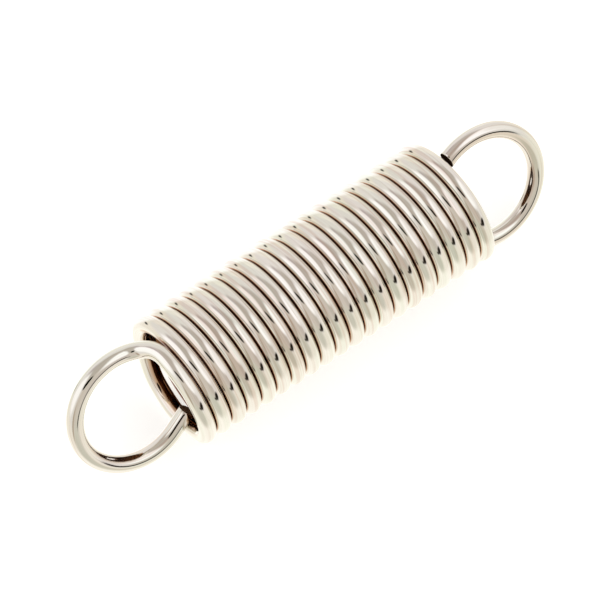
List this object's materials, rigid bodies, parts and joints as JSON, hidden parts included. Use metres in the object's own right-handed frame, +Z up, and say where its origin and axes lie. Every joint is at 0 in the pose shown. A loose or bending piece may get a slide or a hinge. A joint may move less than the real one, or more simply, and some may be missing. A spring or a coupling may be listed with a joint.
{
  "type": "extension spring",
  "caption": "Close-wound extension spring of round plated steel wire, with a full loop eye at each end to hook onto.",
  "frame": {"origin": "on the surface that the spring lies on, under the middle of its length", "axes": "+X along the spring from the near eye to the far eye, +Z up"},
  "size_m": [0.065, 0.016, 0.016],
  "materials": {
    "wire": "bright nickel plating over drawn steel wire, with bare dark cut ends"
  },
  "bodies": {
    "root": {"spring": "wire"}
  },
  "joints": []
}
